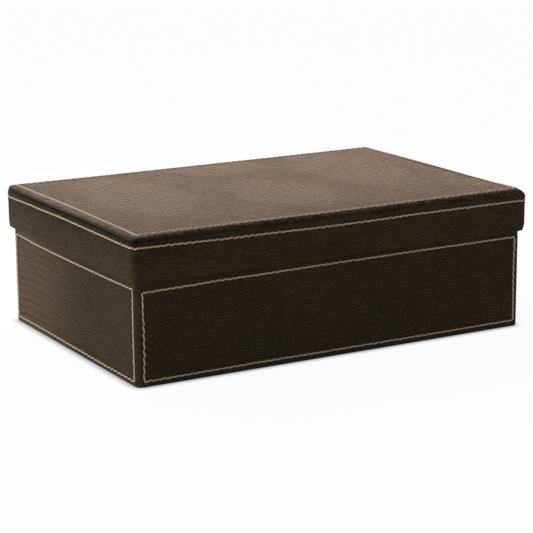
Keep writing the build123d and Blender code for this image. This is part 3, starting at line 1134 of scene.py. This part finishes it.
def makeLidTopCover():
    skin = layers["leather"]
    roll = coverShape["rollWidth"]
    panelInset = coverShape["panelInset"]
    topZ = coverHigh.z
    lowZ = coverLow.z
    setback = lidHigh.x - coverHigh.x
    innerFoot = layers["lidBoardInside"] - setback
    padInset = coverHigh.x - padHigh.x
    width, drop = coverShape["shoulder"]
    profile = [(panelInset, topZ - skin), (padInset + width + coverShape["shoulderGap"], topZ - skin)]
    profile += [(padInset, topZ - skin - drop), (padInset, padLow.z)]
    profile += [(innerFoot, padLow.z), (innerFoot, lowZ)]
    footStart = len(profile)
    under = pi / 2 * (1 - np.arange(coverShape["underSteps"]) / coverShape["underSteps"])
    upper = pi / 2 * np.arange(coverShape["upperSteps"] + 1) / coverShape["upperSteps"]
    bellyZ = lowZ + rowWander["belly"]["left"][2] * mm
    profile += [(0.0, bellyZ - (bellyZ - lowZ) * sin(turn)) for turn in under]
    bellyStart = len(profile)
    profile += [(roll * (1 - cos(turn)), bellyZ + (topZ - bellyZ) * sin(turn)) for turn in upper]
    rollEnd = len(profile)
    spots = [topRowInset + gap for gap in coverShape["fineRows"]]
    profile += [(inset, topZ) for inset in stops(roll, panelInset, coverShape["ringStep"], spots)[1:]]
    insets, heights = sweepProfile(coverOutline, profile)

    # The roll changes its section as it goes round: it hangs over its seam, and is pulled flat at one corner
    seam = lowZ + rowDrift(coverOutline, "seam")
    belly = seam + rowDrift(coverOutline, "belly")
    out = rowDrift(coverOutline, "overhang")
    power = 2 / aroundBox(coverOutline, rowWander["roundness"])
    under = under[:, None]
    upper = upper[:, None]
    heights[footStart - 1] = seam
    creaseAndPaintedShade = rowDrift(coverOutline, "lean") - setback + coverShape["creaseDepth"]
    insets[footStart:bellyStart] = (creaseAndPaintedShade + out) * (1 - np.cos(under)) - out
    heights[footStart:bellyStart] = belly - (belly - seam) * np.sin(under)
    insets[bellyStart:rollEnd] = roll - (roll + out) * np.cos(upper) ** power
    rollTop = topZ + panelHeight(outlinePoints(coverOutline, roll))
    heights[bellyStart:rollEnd] = belly + (rollTop - belly) * np.sin(upper) ** power

    # The leather gathers unevenly along it
    side = slice(footStart, rollEnd)
    points = ringPoints(coverOutline, insets[side], heights[side])
    small = softNoise(points, *coverShape["smallFolds"])
    foldsAndPaintedShade = softNoise(points, *coverShape["largeFolds"]) + 0.6 * small
    slow = softNoise(points, *coverShape["slowFolds"])
    gathered = hump(heights[side], belly, coverShape["gatherWidth"])
    insets[side] -= coverShape["gather"] * (foldsAndPaintedShade * gathered + 0.5 * slow * (gathered > 0))
    heights[side] += coverShape["gatherLift"] * gathered * softNoise(points, *coverShape["lifts"])
    # Painted shade on the roll's underside and down to its seam, where the roll shades itself
    creaseShadeValues = np.zeros(insets.shape)
    overBelly = heights[side] - belly - coverShape["shadeSpread"] * small
    shaded = 1 - smoothStep(*coverShape["shadeEdge"], overBelly)
    creaseShadeValues[side] = aroundBox(coverOutline, rowWander["paintedCreaseShade"]) * shaded

    # The top row is sewn down into the foam
    upside = slice(bellyStart, len(profile))
    inward = insets[upside]
    rowInsets = topRowInset + rowDrift(coverOutline, "lidTop")
    level = plateau(coverShape["rowStart"], coverShape["rowEnd"], inward)
    deeper = 1 + rowDrift(coverOutline, "sunk") / groove["depth"]
    heights[upside] -= grooveShape(np.abs(inward - rowInsets)) * level * deeper
    heights[rollEnd:] += panelHeight(outlinePoints(coverOutline, insets[rollEnd:]))
    return slabPiece("lidTopCover", coverOutline, profile, insets, heights, roll, lidTopLeather,
                     panelHeight, creaseShadeValues)


lidTopCover = makeLidTopCover()
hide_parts("lid_top_cover")
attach(lidTopCover, "lid")
print("lid top cover made")


# Stitches: one bow of thread, laid along every row by Geometry Nodes
stitch = {  # what the stitches' node group is given
    "Pitch": stitchPitch,
    "Length": 7.1 * mm,
    "Radius": 0.68 * mm,
    "Dive": 0.8 * mm,  # how far its ends go down into the leather
    "Slant": 0.17,  # sideways, as a share of the way along
    "Slant Spread": 0.07,
    "Side Spread": 0.1 * mm,
    "Thin Ends": 0.45,
}
bowShape = {
    "points": 10,
    "sides": 7,
    "divePower": 2.6,
    "fullness": 0.5,
    "wallLift": -0.06 * mm,  # the middle of the thread, out from the walls
    "topLift": 0.12 * mm,  # and up from the lid top
    "uprightBow": 0.25 * mm,  # of the upright rows, sideways
    "rowPoints": (60, 20, 90),  # of the level and upright rows of the body, and of the lid top's
}


def stitchTree():
    tree = bpy.data.node_groups.new("stitchRow", "GeometryNodeTree")
    floats = [(label, "Float", value) for label, value in stitch.items()]
    sockets = [("Row", "Geometry", None), *floats, ("Seed", "Int", 0), ("Material", "Material", None)]
    for label, kind, value in sockets:
        socket = tree.interface.new_socket(label, in_out="INPUT", socket_type="NodeSocket" + kind)
        if value is not None:
            socket.default_value = value
    tree.interface.new_socket("Stitches", in_out="OUTPUT", socket_type="NodeSocketGeometry")
    given = addNode(tree, "NodeGroupInput").outputs

    def geometryNode(kind, output, sockets=None, **settings):
        return addNode(tree, "GeometryNode" + kind, sockets, **settings).outputs[output]

    def store(geometry, label, value, kind="FLOAT", domain="POINT"):
        sockets = {"Geometry": geometry, "Name": label, "Value": value}
        return geometryNode("StoreNamedAttribute", "Geometry", sockets, data_type=kind, domain=domain)

    def stored(label, kind="FLOAT"):
        return geometryNode("InputNamedAttribute", "Attribute", {"Name": label}, data_type=kind)

    def chance(low, high, seedShift):
        sockets = {2: low, 3: high, "Seed": calc(tree, "ADD", given["Seed"], seedShift)}
        return addNode(tree, "FunctionNodeRandomValue", sockets, data_type="FLOAT").outputs[1]

    # Where the middle of each stitch lies, as a distance along its row
    line = geometryNode("MeshToCurve", "Curve", {"Mesh": given["Row"]})
    sockets = {"Curve": line, "Length": given["Pitch"]}
    holes = geometryNode("ResampleCurve", "Curve", sockets, mode="LENGTH")
    whole = addNode(tree, "GeometryNodeSplineLength").outputs
    gaps = calc(tree, "SUBTRACT", whole["Point Count"], 1.0)
    halfStep = calc(tree, "DIVIDE", whole["Length"], calc(tree, "MULTIPLY", gaps, 2.0))
    reached = geometryNode("SplineParameter", "Length")
    holes = store(holes, "centre", calc(tree, "ADD", reached, halfStep))
    holes = store(holes, "row", geometryNode("CurveOfPoint", "Curve Index"), "INT")
    lastHole = geometryNode("CurveEndpointSelection", "Selection", {"Start Size": 0, "End Size": 1})
    sockets = {"Geometry": holes, "Selection": lastHole}
    middles = geometryNode("DeleteGeometry", "Geometry", sockets, domain="POINT")

    # The bow, with its own slant, place and soiling on each stitch
    straight = geometryNode("CurvePrimitiveLine", "Curve", {"Start": (-0.5, 0, 0), "End": (0.5, 0, 0)})
    sockets = {"Curve": straight, "Count": bowShape["points"]}
    bow = geometryNode("ResampleCurve", "Curve", sockets, mode="COUNT")
    share = geometryNode("SplineParameter", "Factor")
    bow = store(bow, "along", share)
    sewn = geometryNode("InstanceOnPoints", "Instances", {"Points": middles, "Instance": bow})
    own = {
        "slant": calc(tree, "MULTIPLY_ADD", chance(-1.0, 1.0, 0), given["Slant Spread"], given["Slant"]),
        "aside": calc(tree, "MULTIPLY", chance(-1.0, 1.0, 100), given["Side Spread"]),
        "dye": chance(0.0, 1.0, 200),
    }
    for label, value in own.items():
        sewn = store(sewn, label, value, domain="INSTANCE")
    sewn = geometryNode("RealizeInstances", "Geometry", {"Geometry": sewn})

    # Each point of a bow is laid beside its place on the row, so that stitches bend round the corners
    fromMiddle = calc(tree, "SUBTRACT", stored("along"), 0.5)
    forward = calc(tree, "MULTIPLY", fromMiddle, given["Length"])
    sockets = {
        "Curves": line,
        "Value": stored("facing", "FLOAT_VECTOR"),
        "Length": calc(tree, "ADD", stored("centre"), forward),
        "Curve Index": stored("row", "INT"),
    }
    onRow = addNode(tree, "GeometryNodeSampleCurve", sockets, mode="LENGTH", data_type="FLOAT_VECTOR").outputs
    facing = vectorCalc(tree, "NORMALIZE", onRow["Value"])
    across = vectorCalc(tree, "CROSS_PRODUCT", facing, onRow["Tangent"])
    toEnd = calc(tree, "MULTIPLY", calc(tree, "ABSOLUTE", fromMiddle), 2.0)
    dive = calc(tree, "POWER", toEnd, bowShape["divePower"])
    sunk = calc(tree, "MULTIPLY", dive, calc(tree, "MULTIPLY", given["Dive"], -1.0))
    sideways = calc(tree, "MULTIPLY_ADD", forward, stored("slant"), stored("aside"))
    offset = vectorCalc(tree, "ADD", scaled(tree, facing, sunk), scaled(tree, across, sideways))
    place = vectorCalc(tree, "ADD", onRow["Position"], offset)
    laid = geometryNode("SetPosition", "Geometry", {"Geometry": sewn, "Position": place})

    left = calc(tree, "MAXIMUM", calc(tree, "SUBTRACT", 1.0, toEnd), 0.0)
    fullness = calc(tree, "POWER", left, bowShape["fullness"])
    thickness = mixValues(tree, fullness, calc(tree, "SUBTRACT", 1.0, given["Thin Ends"]), 1.0)
    radius = calc(tree, "MULTIPLY", thickness, given["Radius"])
    thick = geometryNode("SetCurveRadius", "Curve", {"Curve": laid, "Radius": radius})
    sockets = {"Resolution": bowShape["sides"], "Radius": 1.0}
    ring = geometryNode("CurvePrimitiveCircle", "Curve", sockets, mode="RADIUS")
    ring = store(ring, "around", share)
    width = geometryNode("InputRadius", 0)
    sockets = {"Curve": thick, "Profile Curve": ring, "Scale": width, "Fill Caps": True}
    tube = geometryNode("CurveToMesh", "Mesh", sockets)
    soft = geometryNode("SetShadeSmooth", "Geometry", {"Geometry": tube})
    real = geometryNode("RealizeInstances", "Geometry", {"Geometry": soft})
    painted = geometryNode("SetMaterial", "Geometry", {"Geometry": real, "Material": given["Material"]})
    addNode(tree, "NodeGroupOutput", {"Stitches": painted})
    return tree


stitchGroup = stitchTree()


def sewRows(name, rows, seed):
    # rows: a list of (points, facings), each sewn from end to end with whole stitches
    points, facings = (np.concatenate(part) for part in zip(*rows))
    edges = []
    start = 0
    for row in rows:
        edges += [(start + i, start + i + 1) for i in range(len(row[0]) - 1)]
        start += len(row[0])
    mesh = bpy.data.meshes.new(name + "Rows")
    mesh.from_pydata([tuple(point) for point in points], edges, [])
    storeOnPoints(mesh, "facing", "FLOAT_VECTOR", "vector", facings)
    source = addObject(name + "Rows", mesh)
    modifier = source.modifiers.new("stitches", "NODES")
    modifier.node_group = stitchGroup
    inputs = {item.name: item.identifier for item in stitchGroup.interface.items_tree}
    modifier[inputs["Material"]] = waxedThread
    modifier[inputs["Seed"]] = seed
    evaluated = source.evaluated_get(bpy.context.evaluated_depsgraph_get())
    sewn = bpy.data.meshes.new_from_object(evaluated)
    sewn.name = name
    bpy.data.objects.remove(source)
    print(name, len(sewn.polygons))
    return addObject(name, sewn)


def panelRows(number, side):
    # Four rows of a stitched rectangle on a body wall, sewn one after the other
    normal = np.append(normalAt(number), 0)
    tangent = np.append(normalAt(number + 1), 0)
    wallOut = outAndAlong(side, bodyHigh.x, bodyHigh.y)[0]
    reach = panelReach(side)
    levelPoints, uprightPoints = bowShape["rowPoints"][:2]

    def place(sideways, height):
        base = normal * (wallOut + bowShape["wallLift"])
        return base + np.outer(sideways, tangent) + np.outer(height, (0, 0, 1))

    level = np.linspace(-reach, reach, levelPoints)
    top = place(level, panelTopZ + wander("panelTop", side, level / reach))
    low = place(level, panelLowZ + wander("panelLow", side, level / reach))
    columns = []
    for sign in (-1, 1):
        start = panelLowZ + wander("panelLow", side, [sign])[0]
        end = panelTopZ + wander("panelTop", side, [sign])[0]
        upright = np.linspace(start, end, uprightPoints)
        bow = bowShape["uprightBow"] * np.sin((upright - start) / (end - start) * pi * 2 + sign)
        columns.append(place(sign * reach + bow, upright))
    rows = [top[::-1], columns[0][::-1], low, columns[1]]
    return [(row, np.tile(normal, (len(row), 1))) for row in rows]


def topRows():
    rows = []
    for number, side in enumerate(sideOrder):
        out, along = outAndAlong(side, coverHigh.x - topRowInset, coverHigh.y - topRowInset)
        start = -along + wander("lidTop", sideAt(number - 1), [1])[0]
        end = along - wander("lidTop", sideAt(number + 1), [-1])[0]
        level = np.linspace(start, end, bowShape["rowPoints"][2])
        share = level / along
        flat = np.outer(out - wander("lidTop", side, share), normalAt(number))
        flat += np.outer(level, normalAt(number + 1))
        heights = coverHigh.z + bowShape["topLift"] + panelHeight(flat) - wander("sunk", side, share)
        rows.append((np.column_stack([flat, heights]), np.tile((0, 0, 1.0), (len(flat), 1))))
    return rows


def wallRows():
    # From the middle of each corner to the middle of the next
    flat = outlinePoints(lidOutline, -bowShape["wallLift"])
    points = np.column_stack([flat, rowHeights])
    facings = np.column_stack([outlineFacing(lidOutline), np.zeros(len(flat))])
    chosen = [columnsOfSide(lidOutline, number) for number in range(4)]
    return [(points[columns], facings[columns]) for columns in chosen]


for number, side in enumerate(sideOrder):
    panelStitches = sewRows(side + "PanelStitches", panelRows(number, side), 20 + number)
    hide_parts("body_" + side + "_stitching")
    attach(panelStitches, "body")

lidTopStitches = sewRows("lidTopStitches", topRows(), 31)
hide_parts("lid_top_stitching")
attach(lidTopStitches, "lid")

lidWallStitches = sewRows("lidWallStitches", wallRows(), 32)
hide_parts("lid_wall_stitching")
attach(lidWallStitches, "lid")
print("stitches sewn")


# Foam pad under the cover
pad = {
    "edge": 0.6 * mm,
    "corner": 1.0 * mm,
    "crown": 0.25 * mm,
    "crownReach": 60 * mm,
    "panelInset": 12 * mm,
    "footInset": 3 * mm,
    "step": 6 * mm,
    "fill": 0.3,
    "cells": 1.4,  # to a mm
    "pale": (0.74, 0.70, 0.60, 1),
    "deep": (0.55, 0.50, 0.40, 1),
    "cellDepth": 0.3 * mm,
    "roughness": 0.95,
}


def makeFoam():
    material, tree, shader = newMaterial("padFoam")
    sockets = {"Vector": placeOn(tree), "Scale": pad["cells"]}
    cells = addNode(tree, "ShaderNodeTexVoronoi", sockets).outputs["Distance"]
    tone = mixColours(tree, cells, pad["pale"], pad["deep"])
    coat(tree, shader, tone, cells, pad["cellDepth"], 1.0, {"Roughness": pad["roughness"]})
    return material


def padCrown(points):
    return pad["crown"] * smoothStep(pad["panelInset"], pad["crownReach"], edgeDistance(points, padHigh))


def makePad():
    outline = boxOutline(padLow, padHigh, pad["corner"], pad["step"], cornerSteps=4)
    edge = pad["edge"]
    width, drop = coverShape["shoulder"]
    profile = [(pad["panelInset"], padLow.z), (pad["footInset"], padLow.z)]
    profile += arc(edge, padLow.z + edge, edge, 270, 360, 3)
    profile += [(width * i / 3, padHigh.z - drop * (1 - i / 3)) for i in range(4)]
    profile += [(pad["panelInset"], padHigh.z)]
    insets, heights = sweepProfile(outline, profile)
    return slabPiece("lidTopPad", outline, profile, insets, heights, edge, makeFoam(), padCrown)


lidTopPad = makePad()
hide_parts("lid_top_pad")
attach(lidTopPad, "lid")
print("pad made")


# Linings, boards and the sheet under the base keep the model's solids
for name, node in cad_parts.items():
    if name.endswith("_lining"):
        finish = flockedLining
    elif name.endswith("_board"):
        finish = greyBoard
    elif name == "base_sheet":
        finish = baseSheetPaper
    else:
        continue
    node.data.materials.clear()
    node.data.materials.append(finish)
print("linings, boards and base sheet finished")


# Floor, light and camera
white = (1, 1, 1, 1)
studio = {
    "floorSize": 24.0,
    "floorColour": (0.8, 0.8, 0.8, 1),
    "floorWhite": 0.95,  # share of plain white that the camera sees
    "contactReach": 0.007,  # how far out the painted contact shadow darkens the floor under an edge
    "brightSide": (-0.8, 0.6, 0.0),
    "worldFade": (-0.7, 0.7, 0.15, 0.9),  # from and to, towards the bright side, and the light at each
    "lampTarget": (0, 0, 0.05),
    "lamps": {  # place, power and size
        "keyLamp": ((0.05, 0.5, 0.4), 2.8, 0.5),
        "fillLamp": ((-2.0, 0.35, 0.9), 11.5, 1.2),
    },
}


def seenRays(tree):
    # 1 where the camera looks, straight or by way of a gloss or a glass
    rays = addNode(tree, "ShaderNodeLightPath").outputs
    seen = calc(tree, "MAXIMUM", rays["Is Camera Ray"], rays["Is Glossy Ray"])
    return calc(tree, "MAXIMUM", seen, rays["Is Transmission Ray"])


def makeFloor():
    half = studio["floorSize"] / 2
    corners = [(-half, -half, 0), (half, -half, 0), (half, half, 0), (-half, half, 0)]
    material, tree, shader = newMaterial("studioFloor")
    tree.nodes.remove(shader)
    seen = seenRays(tree)
    pale = mixColours(tree, seen, studio["floorColour"], white)
    matte = addNode(tree, "ShaderNodeBsdfDiffuse", {"Color": pale})
    # Painted contact shadow: the plain white that the camera sees is dimmed by ambient occlusion near the
    # object
    contactShadowAO = addNode(tree, "ShaderNodeAmbientOcclusion", {"Distance": studio["contactReach"]}, samples=16)
    plain = addNode(tree, "ShaderNodeEmission", {"Color": white, "Strength": contactShadowAO.outputs["AO"]})
    share = calc(tree, "MULTIPLY", seen, studio["floorWhite"])
    blend = addNode(tree, "ShaderNodeMixShader", {0: share, 1: matte.outputs[0], 2: plain.outputs[0]})
    tree.links.new(blend.outputs[0], tree.nodes["Material Output"].inputs["Surface"])
    floor = newPiece("floor", corners, [(0, 1, 2, 3)], [corner[:2] for corner in corners], material)


def makeWorld():
    # A pale room, brighter on the side that the object's back faces
    world = bpy.data.worlds.new("studioWorld")
    bpy.context.scene.world = world
    world.use_nodes = True
    tree = world.node_tree
    direction = addNode(tree, "ShaderNodeTexCoord").outputs["Generated"]
    sockets = {0: direction, 1: studio["brightSide"]}
    toward = addNode(tree, "ShaderNodeVectorMath", sockets, operation="DOT_PRODUCT").outputs["Value"]
    strength = mixValues(tree, seenRays(tree), remap(tree, toward, *studio["worldFade"]), 1.0)
    background = tree.nodes["Background"]
    background.inputs["Color"].default_value = white
    tree.links.new(strength, background.inputs["Strength"])


def addLamp(name, place, power, size):
    lamp = bpy.data.lights.new(name, "AREA")
    lamp.energy = power
    lamp.shape = "DISK"
    lamp.size = size
    holder = addObject(name, lamp)
    holder.location = place
    aim = Vector(studio["lampTarget"]) - Vector(place)
    holder.rotation_euler = aim.to_track_quat("-Z", "Y").to_euler()
    holder.visible_camera = False


makeFloor()
makeWorld()
for name, values in studio["lamps"].items():
    addLamp(name, *values)

shot = {
    "azimuth": 29.61,  # degrees round from the front
    "elevation": 13.44,
    "roll": -0.39,
    "distance": 1.5096,
    "target": (-0.0069, -0.015, 0.0498),
    "lens": 129.57,
    "sensor": 36.0,
    "clip": (0.05, 60),
}


def makeCamera():
    azimuth, elevation, roll = (radians(shot[key]) for key in ("azimuth", "elevation", "roll"))
    forward = Vector((sin(azimuth) * cos(elevation), cos(azimuth) * cos(elevation), -sin(elevation)))
    right = forward.cross(Vector((0, 0, 1))).normalized()
    up = right.cross(forward)
    right, up = right * cos(roll) + up * sin(roll), up * cos(roll) - right * sin(roll)
    camera = addObject("camera", bpy.data.cameras.new("camera"))
    turned = Matrix((right, up, -forward)).transposed().to_4x4()
    camera.matrix_world = Matrix.Translation(Vector(shot["target"]) - forward * shot["distance"]) @ turned
    camera.data.lens = shot["lens"]
    camera.data.sensor_width = shot["sensor"]
    camera.data.clip_start, camera.data.clip_end = shot["clip"]
    bpy.context.scene.camera = camera


makeCamera()
bpy.context.scene.view_settings.view_transform = "Standard"
print("studio set")
